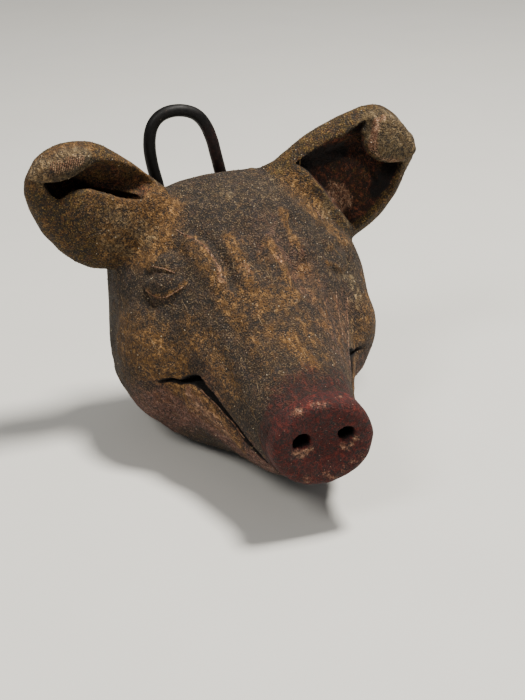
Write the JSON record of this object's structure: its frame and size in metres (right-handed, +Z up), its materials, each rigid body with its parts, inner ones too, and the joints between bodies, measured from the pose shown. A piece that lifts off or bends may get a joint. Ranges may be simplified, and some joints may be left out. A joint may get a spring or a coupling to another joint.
{
  "type": "wall hanging pig head figure",
  "caption": "Small hand-modelled pig's head with a flat back, folded pouch ears, a flat snout disc and a wire hanging loop rising behind its crest.",
  "frame": {"origin": "middle of the head's flat back, where it meets a wall", "axes": "the head looks along -Y, +Z is up towards the crest and the hanging loop, +X is the head's own left"},
  "size_m": [0.078, 0.06, 0.0631],
  "materials": {
    "clay_dark": "matte, sandy, dark umber-grey brushed with ochre",
    "clay_ochre": "matte, sandy, olive-brown brushed with ochre",
    "clay_maroon": "matte maroon with worn lighter edges",
    "clay_bead": "dark, slightly smooth",
    "wire_black": "black, satin, nicked"
  },
  "bodies": {
    "root": {"head_body": "clay_dark", "lower_jaw": "clay_dark", "snout_disc": "clay_maroon", "wire_loop": "wire_black", "left_cheek": "clay_dark", "right_cheek": "clay_dark", "left_ear": "clay_ochre", "right_ear": "clay_ochre", "left_eyeball": "clay_bead", "right_eyeball": "clay_bead", "left_upper_eyelid": "clay_dark", "right_upper_eyelid": "clay_dark", "left_lower_eyelid": "clay_dark", "right_lower_eyelid": "clay_dark", "left_brow": "clay_dark", "right_brow": "clay_dark"}
  },
  "joints": []
}
